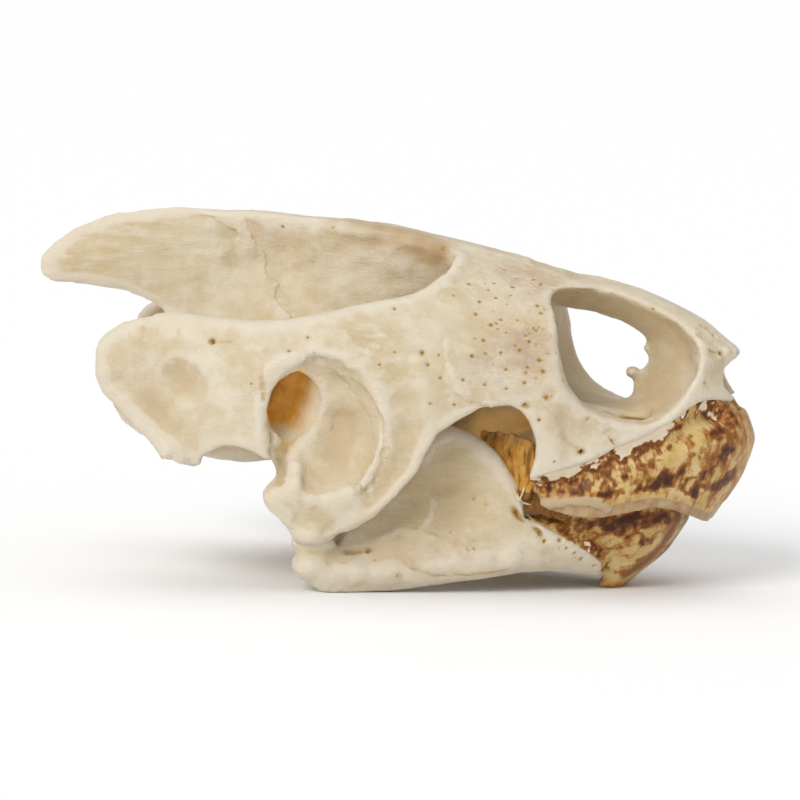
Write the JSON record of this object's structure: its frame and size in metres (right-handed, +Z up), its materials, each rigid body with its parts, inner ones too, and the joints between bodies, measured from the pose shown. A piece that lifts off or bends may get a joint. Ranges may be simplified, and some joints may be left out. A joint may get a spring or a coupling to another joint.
{
  "type": "pond turtle skull",
  "caption": "Cleaned pond turtle skull with a long rear crest, open orbits, its lower jaw and the horn sheaths of both jaws.",
  "frame": {"origin": "on the surface it stands on, under the middle of the skull", "axes": "+X towards the snout, +Y towards the animal's left side, +Z up"},
  "size_m": [0.06, 0.0316, 0.0298],
  "materials": {
    "bone": "dry ivory bone, matte to satin, with fine pores",
    "jaw_bone": "dry ivory bone, matte to satin, smooth",
    "horn": "glossy mottled brown and ochre horn"
  },
  "bodies": {
    "root": {"cranium": "bone", "lower_jaw": "jaw_bone", "upper_beak": "horn", "lower_beak": "horn"}
  },
  "joints": []
}
